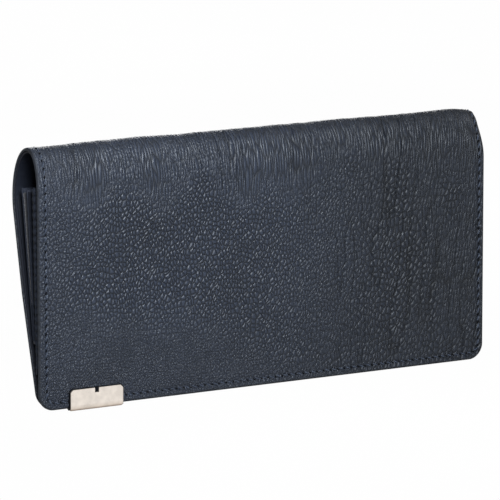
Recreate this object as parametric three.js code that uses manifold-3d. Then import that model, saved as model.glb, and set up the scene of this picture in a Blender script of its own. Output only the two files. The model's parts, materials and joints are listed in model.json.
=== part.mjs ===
// Long wallet: a fold-over cover of pebbled leather around a gusseted pouch with a zipped coin pocket.
// Millimetres. X runs along the wallet, Y from the flap (front) to the back cover, Z up to the fold.
// The wallet stands on its lower edge, and the origin is the bottom centre of its bounding box.
import * as THREE from 'three';
import { mergeVertices } from 'three/addons/utils/BufferGeometryUtils.js';
import Module from 'manifold-3d';

const wasm = await Module();
wasm.setup();

// ---- Driving dimensions ----
const LENGTH = 190;              // along the fold
const PLATE_DROP = 1.1;          // how far the metal plate reaches below the leather
const BASE = PLATE_DROP;         // height of the leather's lower edge
const FOLD_HEIGHT = 95;          // leather's lower edge to the fold's crest
const THICKNESS = 20;            // widest depth, just under the fold
const CREST_DEPTH = 8;           // crest of the fold behind the flap's face
const FRONT_FOLD_START = 80;     // where the flap stops being flat
const FRONT_FOLD_RISE = 8;       // how far the bend keeps upright at its foot
const FRONT_FOLD_RUN = 5;        // how far it keeps level at the crest
const FOLD_CENTRE = 76;          // height of the widest depth
const BACK_SLOPE = 0.21;         // depth gained for each millimetre of height on the back cover
const CORNER_RADIUS = 6;
const BACK_TAPER = 1.1;          // each end of the back cover draws in by this at the bottom
const BACK_TAPER_START = 42;

const LEATHER = 1.1;             // outer leather
const LINING = 0.7;
const LAYER_GAP = 0.1;
const LINING_IN = LEATHER + LAYER_GAP;
const COVER = LINING_IN + LINING;
const LINING_INSET = 0.6;        // lining's ends inside the leather's ends
const LINING_START = 6;          // lower edge of the linings, above the turned leather edge
const HINGE_TURN = 47.7;         // degrees of bend between each leg of the fold and its hinge line
const SPLIT_GAP = 0.3;           // between the cover's hinged sections

const PLATE = { left: -82.8, width: 21.8, height: 7.9, thick: 0.7, corner: 1.1, notchWidth: 1.7,
  notchDepth: 1.7, rearHeight: 4.5, rearThick: 0.45 };

const PANEL_HALF = LENGTH / 2 - 1;       // the pouch is a little shorter than the cover
const SEAM_HEIGHT = 13;                  // bottom seam, about which the pouch opens
const CARD_BACKING = { thick: 0.5, rearBottom: 4.3, rearTop: 6.0, top: 80.4 };
const CARD_SLOT = { thick: 0.4, count: 3, firstMouth: 76.4, pitch: 9, lowest: 14, depth: 52 };
const FLAP_POCKET = { thick: 0.35, low: 16, mouth: 66, inset: 3 };
const COIN = { wall: 0.6, bottom: 24, top: 79.4, frontBottom: 5.0, frontTop: 9.9,
  rearBottom: 6.3, rearTop: 14.3 };
const GUSSET = { thick: 0.25, clear: 0.2, fold: 8, bight: 0.5, low: 38, top: 78.9 };

const CHAIN = { half: 77, low: 80.8, height: 1.4, bar: 0.5, halfWidth: 1.5, pitch: 3, tooth: 1.1,
  overlap: 0.3 };
const TAPE = { thick: 0.35, low: 72.4 };
const STOP = { length: 2.4, halfWidth: 2, height: 2 };
const SLIDER = { length: 8, clear: 0.25, wall: 0.5, plate: 0.7, lug: 0.6, lugHalfGap: 1.3,
  lugLength: 3, pinRadius: 0.5, pinRise: 1.35, rest: 71 };
const PULL = { length: 16, width: 4.2, thick: 0.9, eyeOuter: 1.15, eyeInner: 0.65, eyeWidth: 2.2 };

const FRONT = -(THICKNESS - PLATE.thick - LAYER_GAP) / 2;   // y of the flap's outer face
const ROUND_STEPS = 5;

// ---- Materials ----
const material = (color, roughness, metalness) =>
  new THREE.MeshStandardMaterial({ color, roughness, metalness });
const NAVY_LEATHER = material(0x2c3542, 0.5, 0);
const LINING_LEATHER = material(0x252b35, 0.6, 0);
const POCKET_FABRIC = material(0x1f232b, 0.8, 0);
const SATIN_NICKEL = material(0xd8cec5, 0.35, 1);
const ZIP_METAL = material(0xb9b2a8, 0.3, 1);
const ZIP_TAPE = material(0x1c222c, 0.9, 0);

// ---- Placing: a depth is measured back from the flap's face, a height up from the leather's edge ----
const at = (depth, height) => new THREE.Vector2(FRONT + depth, BASE + height);
const ALONG_X = new THREE.Matrix4().makeBasis(
  new THREE.Vector3(0, 1, 0), new THREE.Vector3(0, 0, 1), new THREE.Vector3(1, 0, 0));
const ALONG_Y = new THREE.Matrix4().makeBasis(
  new THREE.Vector3(1, 0, 0), new THREE.Vector3(0, 0, 1), new THREE.Vector3(0, -1, 0));

// A section drawn in depth and height, pulled out along X.
function alongX(points, x0, x1) {
  const geometry = new THREE.ExtrudeGeometry(new THREE.Shape(points),
    { depth: x1 - x0, bevelEnabled: false });
  geometry.applyMatrix4(ALONG_X);
  return geometry.translate(x0, 0, 0);
}

// A face drawn in X and Z, pulled out along Y.
function alongY(shape, y0, y1) {
  const geometry = new THREE.ExtrudeGeometry(shape,
    { depth: y1 - y0, bevelEnabled: false, curveSegments: ROUND_STEPS });
  geometry.applyMatrix4(ALONG_Y);
  return geometry.translate(0, y1, 0);
}

// ---- Booleans ----
function solid(geometry) {
  const bare = geometry.clone();
  bare.deleteAttribute('normal');
  bare.deleteAttribute('uv');
  const merged = mergeVertices(bare, 1e-4);
  return new wasm.Manifold(new wasm.Mesh({
    numProp: 3,
    vertProperties: new Float32Array(merged.attributes.position.array),
    triVerts: new Uint32Array(merged.index.array),
  }));
}

function fromSolid(manifold) {
  const mesh = manifold.getMesh();
  const geometry = new THREE.BufferGeometry();
  geometry.setAttribute('position', new THREE.BufferAttribute(mesh.vertProperties, 3));
  geometry.setIndex(new THREE.BufferAttribute(mesh.triVerts, 1));
  return geometry;
}

const wallet = new THREE.Group();

function add(name, geometry, mat) {
  const mesh = new THREE.Mesh(geometry, mat);
  mesh.name = name;
  wallet.add(mesh);
}

// ---- The cover's outer outline ----
const foldFront = new THREE.CubicBezierCurve(
  at(0, FRONT_FOLD_START), at(0, FRONT_FOLD_START + FRONT_FOLD_RISE),
  at(CREST_DEPTH - FRONT_FOLD_RUN, FOLD_HEIGHT), at(CREST_DEPTH, FOLD_HEIGHT));
const ARCH_DEPTH = THICKNESS - CREST_DEPTH;
const ARCH_HEIGHT = FOLD_HEIGHT - FOLD_CENTRE;
const archCentre = at(CREST_DEPTH, FOLD_CENTRE);
const BACK_LEG_ANGLE = Math.atan(BACK_SLOPE * ARCH_HEIGHT / ARCH_DEPTH);
const foldBack = new THREE.EllipseCurve(archCentre.x, archCentre.y, ARCH_DEPTH, ARCH_HEIGHT,
  Math.PI / 2, -BACK_LEG_ANGLE, true);
const backLegTop = foldBack.getPoint(1);

// Depth of the back cover's outer face at a height on its flat part.
const backDepth = (height) => backLegTop.x - FRONT - BACK_SLOPE * (backLegTop.y - BASE - height);

// A sample holds a point of the outline and the direction that points into the wallet.
function sample(curve, t) {
  const tangent = curve.getTangent(t);
  return { point: curve.getPoint(t), inward: new THREE.Vector2(tangent.y, -tangent.x) };
}

function samples(curve, t0, t1, steps) {
  return Array.from({ length: steps + 1 }, (_, i) => sample(curve, t0 + (t1 - t0) * i / steps));
}

// Where on a curve the tangent has a given angle, found by halving. The angle falls along the curve.
function paramAtAngle(curve, degrees) {
  let low = 0;
  let high = 1;
  for (let i = 0; i < 40; i += 1) {
    const middle = (low + high) / 2;
    const tangent = curve.getTangent(middle);
    if (Math.atan2(tangent.y, tangent.x) * 180 / Math.PI > degrees) low = middle;
    else high = middle;
  }
  return low;
}

const backLean = Math.atan(BACK_SLOPE) * 180 / Math.PI;
const flapHinge = paramAtAngle(foldFront, 90 - HINGE_TURN);
const backHinge = paramAtAngle(foldBack, -90 - backLean + HINGE_TURN);
const frontHalfGap = SPLIT_GAP / 2 / foldFront.getLength();
const backHalfGap = SPLIT_GAP / 2 / foldBack.getLength();

// The band between two distances inside the outline.
function band(line, outer, inner) {
  const offset = (distance) => line.map((s) => s.point.clone().addScaledVector(s.inward, distance));
  return [...offset(outer), ...offset(inner).reverse()];
}

const INTO_FRONT = new THREE.Vector2(1, 0);
const INTO_BACK = new THREE.Vector2(-1, BACK_SLOPE).normalize();
const flapLine = (start) => [
  { point: at(0, start), inward: INTO_FRONT },
  ...samples(foldFront, 0, flapHinge - frontHalfGap, 6),
];
const spineLine = [
  ...samples(foldFront, flapHinge + frontHalfGap, 1, 5).slice(0, -1),
  ...samples(foldBack, 0, backHinge - backHalfGap, 7),
];
const backLine = (end) => [
  ...samples(foldBack, backHinge + backHalfGap, 1, 8),
  { point: at(backDepth(end), end), inward: INTO_BACK },
];

// A face with round lower corners, whose ends draw in by a taper towards the bottom.
function coverFace(halfLength, low, taper) {
  const end = halfLength - taper;
  const r = CORNER_RADIUS;
  const bottom = BASE + low;
  const shape = new THREE.Shape();
  shape.moveTo(-halfLength, BASE + FOLD_HEIGHT + 5);
  shape.lineTo(-halfLength, BASE + BACK_TAPER_START);
  shape.lineTo(-end, bottom + r);
  shape.absarc(-end + r, bottom + r, r, Math.PI, 1.5 * Math.PI, false);
  shape.lineTo(end - r, bottom);
  shape.absarc(end - r, bottom + r, r, 1.5 * Math.PI, 2 * Math.PI, false);
  shape.lineTo(halfLength, BASE + BACK_TAPER_START);
  shape.lineTo(halfLength, BASE + FOLD_HEIGHT + 5);
  return shape;
}

function coverPiece(line, outer, inner, inset, low, taper) {
  const half = LENGTH / 2 - inset;
  const full = solid(alongX(band(line, outer, inner), -half, half));
  const face = solid(alongY(coverFace(half, low, taper), FRONT - 5, FRONT + THICKNESS + 5));
  return fromSolid(full.intersect(face));
}

function addCover() {
  const half = LENGTH / 2;
  add('flap_leather', coverPiece(flapLine(0), 0, LEATHER, 0, 0, 0), NAVY_LEATHER);
  add('flap_lining',
    coverPiece(flapLine(LINING_START), LINING_IN, COVER, LINING_INSET, LINING_START, 0),
    LINING_LEATHER);
  add('spine_leather', alongX(band(spineLine, 0, LEATHER), -half, half), NAVY_LEATHER);
  add('spine_lining',
    alongX(band(spineLine, LINING_IN, COVER), -half + LINING_INSET, half - LINING_INSET),
    LINING_LEATHER);
  add('back_leather', coverPiece(backLine(0), 0, LEATHER, 0, 0, BACK_TAPER), NAVY_LEATHER);
  add('back_lining',
    coverPiece(backLine(LINING_START), LINING_IN, COVER, LINING_INSET, LINING_START, BACK_TAPER),
    LINING_LEATHER);
}

// ---- Metal plate clipped over the flap's lower edge ----
function plateFace() {
  const { left, width, height, corner, notchWidth, notchDepth } = PLATE;
  const right = left + width;
  const middle = left + width / 2;
  const shape = new THREE.Shape();
  shape.moveTo(left, 0);
  shape.lineTo(right, 0);
  shape.lineTo(right, height - corner);
  shape.lineTo(right - corner, height);
  shape.lineTo(middle + notchWidth / 2, height);
  shape.lineTo(middle + notchWidth / 2, height - notchDepth);
  shape.lineTo(middle - notchWidth / 2, height - notchDepth);
  shape.lineTo(middle - notchWidth / 2, height);
  shape.lineTo(left + corner, height);
  shape.lineTo(left, height - corner);
  return shape;
}

function addPlate() {
  const { left, width, thick, rearHeight, rearThick } = PLATE;
  const frontY = FRONT - LAYER_GAP - thick;
  const rearY = FRONT + COVER + LAYER_GAP + rearThick;
  const frontLeaf = solid(alongY(plateFace(), frontY, FRONT - LAYER_GAP));
  const cornerOf = (y, z) => new THREE.Vector2(y, z);
  const hook = solid(alongX([
    cornerOf(frontY, 0), cornerOf(rearY, 0), cornerOf(rearY, rearHeight),
    cornerOf(rearY - rearThick, rearHeight), cornerOf(rearY - rearThick, PLATE_DROP - LAYER_GAP),
    cornerOf(frontY, PLATE_DROP - LAYER_GAP),
  ], left, left + width));
  add('edge_plate', fromSolid(frontLeaf.add(hook)), SATIN_NICKEL);
}

// ---- Sheets that lean: a thickness in front of, or behind, a line between two depths ----
function leaningSheet(low, lowDepth, high, highDepth, thick) {
  return [at(lowDepth, low), at(lowDepth + thick, low), at(highDepth + thick, high),
    at(highDepth, high)];
}

// Rear face of the card panel's backing.
function cardRear(height) {
  const { rearBottom, rearTop, top } = CARD_BACKING;
  return rearBottom + (rearTop - rearBottom) * (height - SEAM_HEIGHT) / (top - SEAM_HEIGHT);
}

function addCardPanel() {
  const { thick, top } = CARD_BACKING;
  const sheet = (low, high, front, thickness) => alongX(
    leaningSheet(low, cardRear(low) - front, high, cardRear(high) - front, thickness),
    -PANEL_HALF, PANEL_HALF);
  add('card_panel', sheet(SEAM_HEIGHT, top, thick, thick), NAVY_LEATHER);
  for (let i = 0; i < CARD_SLOT.count; i += 1) {
    const mouth = CARD_SLOT.firstMouth - CARD_SLOT.pitch * i;
    const low = Math.max(CARD_SLOT.lowest, mouth - CARD_SLOT.depth);
    const front = thick + (i + 1) * (CARD_SLOT.thick + LAYER_GAP);
    add(`card_slot_${i + 1}`, sheet(low, mouth, front, CARD_SLOT.thick), LINING_LEATHER);
  }
}

function addFlapPocket() {
  const half = LENGTH / 2 - FLAP_POCKET.inset;
  const depth = COVER + LAYER_GAP / 2;
  const { low, mouth, thick } = FLAP_POCKET;
  add('flap_pocket', alongX(leaningSheet(low, depth, mouth, depth, thick), -half, half),
    LINING_LEATHER);
}

// ---- Coin pocket ----
const mix = (a, b, t) => a + (b - a) * t;
const coinShare = (height) => (height - COIN.bottom) / (COIN.top - COIN.bottom);
const coinFront = (height) => mix(COIN.frontBottom, COIN.frontTop, coinShare(height));
const coinRear = (height) => mix(COIN.rearBottom, COIN.rearTop, coinShare(height));
const chainDepth = (COIN.frontTop + COIN.rearTop) / 2;

function addCoinPocket() {
  const { wall, bottom, top } = COIN;
  const front = leaningSheet(bottom, coinFront(bottom), top, coinFront(top), wall);
  const rear = leaningSheet(bottom, coinRear(bottom) - wall, top, coinRear(top) - wall, wall);
  add('coin_wall_front', alongX(front, -PANEL_HALF, PANEL_HALF), LINING_LEATHER);
  add('coin_wall_rear', alongX(rear, -PANEL_HALF, PANEL_HALF), LINING_LEATHER);
}

function addZipTapes() {
  const { thick, low } = TAPE;
  const high = CHAIN.low - LAYER_GAP;
  const frontFace = (height) => coinFront(height) + COIN.wall + LAYER_GAP;
  const rearFace = (height) => coinRear(height) - COIN.wall - LAYER_GAP - thick;
  add('zip_tape_front',
    alongX(leaningSheet(low, frontFace(low), high, frontFace(high), thick),
      -CHAIN.half, CHAIN.half), ZIP_TAPE);
  add('zip_tape_rear',
    alongX(leaningSheet(low, rearFace(low), high, rearFace(high), thick),
      -CHAIN.half, CHAIN.half), ZIP_TAPE);
}

// One row of teeth on its bar. The side is -1 for the front row and 1 for the rear one.
function addTeeth(name, side) {
  const { half, bar, halfWidth, pitch, tooth, overlap, low, height } = CHAIN;
  const y = (fromMiddle) => FRONT + chainDepth + side * fromMiddle;
  const shape = new THREE.Shape();
  const firstTooth = -half + (side < 0 ? pitch / 4 : pitch * 3 / 4);
  const corners = [[-half, halfWidth], [-half, halfWidth - bar]];
  for (let x = firstTooth; x + tooth < half; x += pitch) {
    corners.push([x, halfWidth - bar], [x, -overlap], [x + tooth, -overlap],
      [x + tooth, halfWidth - bar]);
  }
  corners.push([half, halfWidth - bar], [half, halfWidth]);
  corners.forEach(([x, fromMiddle], i) => {
    if (i === 0) shape.moveTo(x, y(fromMiddle));
    else shape.lineTo(x, y(fromMiddle));
  });
  const geometry = new THREE.ExtrudeGeometry(shape, { depth: height, bevelEnabled: false });
  add(name, geometry.translate(0, 0, BASE + low), ZIP_METAL);
}

function addStop(name, side) {
  const geometry = new THREE.BoxGeometry(STOP.length, 2 * STOP.halfWidth, STOP.height);
  const x = side * (CHAIN.half + 0.3 + STOP.length / 2);
  add(name, geometry.translate(x, FRONT + chainDepth, BASE + CHAIN.low + STOP.height / 2), ZIP_METAL);
}

// ---- Slider and pull ----
const sliderTop = CHAIN.low + CHAIN.height + SLIDER.clear + SLIDER.plate;
const pinHeight = sliderTop + SLIDER.pinRise;

function addSlider() {
  const { length, clear, wall, plate, lug, lugHalfGap, lugLength, pinRadius, rest } = SLIDER;
  const x0 = rest - length / 2;
  const x1 = rest + length / 2;
  const inner = CHAIN.halfWidth + clear;
  const outer = inner + wall;
  const low = CHAIN.low + 0.2;
  const roof = sliderTop - plate;
  const point = (fromMiddle, height) => at(chainDepth + fromMiddle, height);
  let body = solid(alongX([
    point(-outer, low), point(-inner, low), point(-inner, roof), point(inner, roof),
    point(inner, low), point(outer, low), point(outer, sliderTop), point(-outer, sliderTop),
  ], x0, x1));
  for (const side of [-1, 1]) {
    const near = side * lugHalfGap;
    const far = side * (lugHalfGap + lug);
    const [a, b] = [Math.min(near, far), Math.max(near, far)];
    body = body.add(solid(alongX([
      point(a, sliderTop - 0.2), point(b, sliderTop - 0.2), point(b, pinHeight + 1),
      point(a, pinHeight + 1),
    ], rest - lugLength / 2, rest + lugLength / 2)));
  }
  const pin = new THREE.CylinderGeometry(pinRadius, pinRadius, 2 * lugHalfGap + lug, 12);
  pin.translate(rest, FRONT + chainDepth, BASE + pinHeight);
  add('zip_slider', fromSolid(body.add(solid(pin))), ZIP_METAL);
}

// The pull lies along the chain, with an eye around the slider's pin.
function addPull() {
  const { length, width, thick, eyeOuter, eyeInner, eyeWidth } = PULL;
  const { rest } = SLIDER;
  const middle = FRONT + chainDepth;
  const z = BASE + pinHeight;
  const eye = new THREE.Shape();
  eye.absarc(rest, z, eyeOuter, 0, 2 * Math.PI, false);
  const hole = new THREE.Path();
  hole.absarc(rest, z, eyeInner, 0, 2 * Math.PI, true);
  eye.holes.push(hole);
  const neckEnd = rest - SLIDER.lugLength / 2 - 0.6;
  const neck = new THREE.BoxGeometry(rest - eyeInner - 0.15 - neckEnd + 0.3, eyeWidth, thick);
  neck.translate((rest - eyeInner - 0.15 + neckEnd - 0.3) / 2, middle, z);
  const tab = new THREE.Shape();
  const tip = rest - length;
  tab.moveTo(neckEnd, middle - eyeWidth / 2);
  tab.lineTo(neckEnd, middle + eyeWidth / 2);
  tab.lineTo(neckEnd - 2, middle + width / 2);
  tab.lineTo(tip + width / 2, middle + width / 2);
  tab.absarc(tip + width / 2, middle, width / 2, Math.PI / 2, 1.5 * Math.PI, false);
  tab.lineTo(neckEnd - 2, middle - width / 2);
  const blade = new THREE.ExtrudeGeometry(tab,
    { depth: thick, bevelEnabled: false, curveSegments: ROUND_STEPS });
  blade.translate(0, 0, z - thick / 2);
  const ring = solid(alongY(eye, middle - eyeWidth / 2, middle + eyeWidth / 2));
  add('zip_pull', fromSolid(ring.add(solid(neck)).add(solid(blade))), ZIP_METAL);
}

// ---- Folded gussets ----
// A strip folded inwards at an end of the wallet. Each arm lies along one of the two leaning faces
// that the strip joins, and the fold between the arms points towards the middle of the wallet.
function gusset(side, nearFace, farFace) {
  const { thick, clear, fold, bight, low, top } = GUSSET;
  const near = (height) => nearFace(height) + clear;
  const far = (height) => farFace(height) - clear;
  const end = side * PANEL_HALF;
  const inner = end - side * fold;
  const span = (x0, x1) => [Math.min(x0, x1), Math.max(x0, x1)];
  const nearArm = alongX(leaningSheet(low, near(low), top, near(top), thick), ...span(end, inner));
  const farArm = alongX(leaningSheet(low, far(low) - thick, top, far(top) - thick, thick),
    ...span(end, inner));
  const web = alongX([at(near(low), low), at(far(low), low), at(far(top), top), at(near(top), top)],
    ...span(inner, inner + side * bight));
  return fromSolid(solid(nearArm).add(solid(farArm)).add(solid(web)));
}

function addGussets() {
  const backInner = (height) => {
    const flat = backDepth(Math.min(height, backLegTop.y - BASE));
    return flat - COVER * Math.sqrt(1 + BACK_SLOPE ** 2);
  };
  const coinInnerFront = (height) => coinFront(height) + COIN.wall;
  const coinInnerRear = (height) => coinRear(height) - COIN.wall;
  for (const [label, side] of [['left', -1], ['right', 1]]) {
    add(`front_gusset_${label}`, gusset(side, cardRear, coinFront), LINING_LEATHER);
    add(`rear_gusset_${label}`, gusset(side, coinRear, backInner), LINING_LEATHER);
    add(`coin_gusset_${label}`, gusset(side, coinInnerFront, coinInnerRear), POCKET_FABRIC);
  }
}

addCover();
addPlate();
addFlapPocket();
addCardPanel();
addCoinPocket();
addZipTapes();
addTeeth('zip_teeth_front', -1);
addTeeth('zip_teeth_rear', 1);
addStop('zip_stop_left', -1);
addStop('zip_stop_right', 1);
addSlider();
addPull();
addGussets();

export default wallet;
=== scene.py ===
"""Looks of the long wallet: leather, linings, pockets, zip and plate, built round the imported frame.

Shapes are worked out in millimetres. A point of the cover is given by x along the wallet, by its
arc length s round the outline (0 at the flap's lower edge, over the fold, down to the back's lower
edge), and by how far it lies under the outer face.
"""

import json
import math

import bpy
import numpy as np
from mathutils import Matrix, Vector


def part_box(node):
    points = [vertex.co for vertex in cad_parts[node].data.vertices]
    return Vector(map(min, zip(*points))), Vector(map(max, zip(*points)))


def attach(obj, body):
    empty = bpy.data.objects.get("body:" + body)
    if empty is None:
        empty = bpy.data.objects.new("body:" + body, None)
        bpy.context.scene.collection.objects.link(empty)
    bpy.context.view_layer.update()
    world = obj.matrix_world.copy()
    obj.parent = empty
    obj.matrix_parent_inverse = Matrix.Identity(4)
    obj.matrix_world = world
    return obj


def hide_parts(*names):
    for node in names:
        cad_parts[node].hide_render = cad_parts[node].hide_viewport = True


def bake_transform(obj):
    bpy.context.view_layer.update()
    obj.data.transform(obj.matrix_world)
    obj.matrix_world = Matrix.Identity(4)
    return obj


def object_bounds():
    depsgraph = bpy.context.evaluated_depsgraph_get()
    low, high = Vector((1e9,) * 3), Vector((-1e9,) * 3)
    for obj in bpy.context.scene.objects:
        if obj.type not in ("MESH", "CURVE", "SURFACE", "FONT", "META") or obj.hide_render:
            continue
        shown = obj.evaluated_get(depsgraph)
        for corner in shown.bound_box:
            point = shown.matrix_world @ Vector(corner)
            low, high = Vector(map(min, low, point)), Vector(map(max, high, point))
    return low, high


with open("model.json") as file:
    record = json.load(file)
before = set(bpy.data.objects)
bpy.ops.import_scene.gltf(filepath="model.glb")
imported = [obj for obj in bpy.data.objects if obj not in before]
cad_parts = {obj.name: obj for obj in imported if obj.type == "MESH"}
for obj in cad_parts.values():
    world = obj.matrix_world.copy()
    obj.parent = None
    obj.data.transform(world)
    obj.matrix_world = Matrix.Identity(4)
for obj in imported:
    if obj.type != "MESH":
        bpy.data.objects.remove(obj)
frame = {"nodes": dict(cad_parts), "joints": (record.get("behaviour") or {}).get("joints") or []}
CAD_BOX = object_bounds()
MM = 0.001


def box_mm(node):
    low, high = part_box(node)
    return np.array(low) / MM, np.array(high) / MM


def joint_point(name):
    """Depth behind the flap's face and height above its lower edge of a joint, in mm."""
    place = next(j["pos_m"] for j in frame["joints"] if j["name"] == name)
    return np.array([place[1] / MM - FRONT, place[2] / MM - BASE])


# ---- Driving dimensions, in mm ----
FLAP_LOW, FLAP_HIGH = box_mm("flap_leather")
FRONT, BASE, HALF = FLAP_LOW[1], FLAP_LOW[2], FLAP_HIGH[0]
CREST = box_mm("spine_leather")[1][2] - BASE
WIDTH = box_mm("back_leather")[1][1] - FRONT
FOLD_START = 80.0             # height where the flap starts to bend
FOLD_RISE, FOLD_RUN = 8.0, 5.0  # pull of the bend's curve at its lower and upper end
CREST_DEPTH = 8.0             # how far the crest lies behind the flap's face
WIDEST = 76.0                 # height where the wallet is deepest
BACK_SLOPE = 0.21             # depth lost for each mm down the back
CORNER = 6.0
BACK_TAPER = 1.1              # how much shorter the back is at each end, lower down
BACK_TAPER_START = 42.0
LEATHER = 1.1                 # thickness of the outer leather
LINING_IN, COVER = 1.2, 1.9   # the lining's two faces, under the cover's outer face
LINING_INSET = 0.6
LINING_START = 6.0
SEAM = (3.0, 2.6, 2.2)        # stitch line from the left, lower and right edges
STITCH_PITCH = 3.0
DENT = 3.1                    # how far the fold is pressed in at its right end
SIDES = ((-1, "left"), (1, "right"))

# ---- The cover leather's look ----
GRAIN_DEPTH = 0.52            # depth of the grain's relief, in mm
LEATHER_SHINE = 0.31
# The grain's colours are painted light: painted shade in the crevices, painted light on the pebbles'
# tops.
LEATHER_CREVICE_SHADE = (0.0024, 0.0034, 0.0061)     # in the crevices
LEATHER_MIDDLE = (0.0071, 0.0098, 0.0168)
LEATHER_LIT_TOP = (0.0108, 0.0145, 0.0238)    # on top of the pebbles


def smooth(t):
    t = np.clip(t, 0.0, 1.0)
    return t * t * (3 - 2 * t)


def lengths_along(path):
    return np.concatenate([[0], np.cumsum(np.linalg.norm(np.diff(path, axis=0), axis=1))])


# ---- The cover's outline ----
def outline():
    heights = np.linspace(0, FOLD_START, 161)
    leg = np.column_stack([np.zeros_like(heights), heights])
    t = np.linspace(0, 1, 81)[1:, None]
    a = np.array([0, FOLD_START])
    b = np.array([0, FOLD_START + FOLD_RISE])
    c = np.array([CREST_DEPTH - FOLD_RUN, CREST])
    d = np.array([CREST_DEPTH, CREST])
    bend = a * (1 - t) ** 3 + 3 * b * t * (1 - t) ** 2 + 3 * c * t * t * (1 - t) + d * t ** 3
    radii = np.array([WIDTH - CREST_DEPTH, CREST - WIDEST])
    last = -math.atan(BACK_SLOPE * radii[1] / radii[0])
    angle = np.linspace(math.pi / 2, last, 121)[1:, None]
    centre = np.array([CREST_DEPTH, WIDEST])
    arch = centre + radii * np.hstack([np.cos(angle), np.sin(angle)])
    foot = arch[-1] - arch[-1][1] * np.array([BACK_SLOPE, 1.0])
    back = arch[-1] + (foot - arch[-1]) * np.linspace(0, 1, 141)[1:, None]
    return np.vstack([leg, bend, arch, back])


LINE = outline()
ARC = lengths_along(LINE)
TANGENT = np.gradient(LINE, ARC, axis=0)
TANGENT /= np.linalg.norm(TANGENT, axis=1, keepdims=True)
OUTWARD = np.column_stack([-TANGENT[:, 1], TANGENT[:, 0]])
END = ARC[-1]


def arc_of(point):
    return ARC[np.argmin(np.linalg.norm(LINE - point, axis=1))]


BACK_HINGE = joint_point("spine_fold")
FLAP_HINGE = joint_point("flap_fold")
MIDDLE = (arc_of(BACK_HINGE) + arc_of(FLAP_HINGE)) / 2
CREST_ARC = arc_of(np.array([CREST_DEPTH, CREST]))


def on_line(s, inside=0.0):
    """Depth and height of a point that lies inside mm under the outline at arc length s."""
    depth = np.interp(s, ARC, LINE[:, 0]) - inside * np.interp(s, ARC, OUTWARD[:, 0])
    height = np.interp(s, ARC, LINE[:, 1]) - inside * np.interp(s, ARC, OUTWARD[:, 1])
    return depth, height


def dent(x, s):
    """How far the outline is pressed in at the right end of the fold."""
    from_end = HALF - x
    at_end = np.exp(-(np.maximum(from_end, 0) / 3.0) ** 0.9) * smooth((16 - from_end) / 8)
    front = smooth((s - 77) / 14)
    behind = 1 - 0.3 * smooth((s - CREST_ARC + 3) / 4) - 0.7 * smooth((s - CREST_ARC) / 9)
    return DENT * at_end * front * behind


def cover_point(x, s, inside=0.0):
    depth, height = on_line(s, inside + dent(x, s))
    return np.stack([np.broadcast_to(x, depth.shape), FRONT + depth, BASE + height], axis=-1)


def cover_end(from_edge, taper):
    """Where the cover's straight end lies at a distance from its lower edge."""
    return HALF - taper * np.clip((BACK_TAPER_START - from_edge) / (BACK_TAPER_START - CORNER), 0, 1)


def half_length(from_edge, taper):
    """Half the cover's length at a distance from its lower edge: round corners, tapered back."""
    into = np.clip(CORNER - from_edge, 0, CORNER)
    return cover_end(from_edge, taper) - CORNER + np.sqrt(CORNER ** 2 - into ** 2)


def edge_distance(x, from_edge, taper):
    """Distance from the cover's own edge."""
    end = cover_end(from_edge, taper)
    side = np.abs(x) - (end - CORNER)
    low = CORNER - from_edge
    inside_corner = CORNER - np.hypot(side, low)
    straight = np.minimum(end - np.abs(x), from_edge)
    return np.where((side > 0) & (low > 0), inside_corner, straight)


# ---- Repeatable noise ----
def hashed(ix, iy, seed):
    """A repeatable number from 0 to 1 for each whole-number cell."""
    n = ix.astype(np.int64) * 374761393 + iy.astype(np.int64) * 668265263 + seed * 974634777
    n &= 0xFFFFFFFF
    n = ((n ^ (n >> 13)) * 1274126177) & 0xFFFFFFFF
    n = ((n ^ (n >> 15)) * 1103515245) & 0xFFFFFFFF
    return ((n ^ (n >> 16)) & 0xFFFFFF) / float(0x1000000)


def noise(x, y, seed):
    """Smooth noise from -1 to 1, with features one unit across."""
    ix, iy = np.floor(x), np.floor(y)
    fx, fy = smooth(x - ix), smooth(y - iy)
    low = hashed(ix, iy, seed) * (1 - fx) + hashed(ix + 1, iy, seed) * fx
    high = hashed(ix, iy + 1, seed) * (1 - fx) + hashed(ix + 1, iy + 1, seed) * fx
    return 2 * (low * (1 - fy) + high * fy) - 1


# ---- The grained leather's surface ----
def calm_share(x, s):
    """1 where the leather is smooth and fine, at the left and along the bottom, else 0."""
    edge = 44 - 30 * smooth((x + 50) / 70) - 6 * smooth((x - 20) / 60)
    uneven = 9 * noise(x / 16, s / 15, 44) + 4 * noise(x / 7, s / 8, 45)
    share = np.maximum(smooth((edge + uneven - s) / 26), 0.5 * smooth((uneven - 62 - x) / 24))
    return share * smooth((CREST_ARC + 20 - s) / 10)


def drawn(x, s):
    """The grain's own coordinates, in mm: pulled about a little, and leaning on the right."""
    lean = 0.10 * smooth((x - 10) / 60)
    across = x + 0.35 * noise(x / 3.1, s / 4.3, 11) + 0.9 * noise(x / 13, s / 19, 12) - lean * (s - 80)
    along = s + 0.5 * noise(x / 3.7, s / 5.1, 13) + 1.2 * noise(x / 19, s / 21, 14)
    return np.stack([across, along], -1)


def crease_share(x, s):
    """1 where the pebbles are drawn out into creases, near the fold and in the right part."""
    fold_band = smooth((s - 70 + 9 * noise(x / 9, s / 60, 41)) / 14)
    fold_band *= smooth((CREST_ARC + 30 - s) / 18)
    right_part = 0.6 * smooth((x - 30 + 14 * noise(x / 30, s / 30, 42)) / 45)
    patches = smooth(0.5 + 0.9 * noise(x / 8, s / 22, 43))
    return np.clip(fold_band * (0.6 + 0.4 * patches) + right_part * patches, 0, 1)


def large_share(x, s):
    """1 where the pebbles are large, in the middle and on the right; the colour there is darkened as
    painted shade.
    """
    return smooth((x + 27 + 12 * noise(x / 30, s / 30, 15)) / 96)


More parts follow.
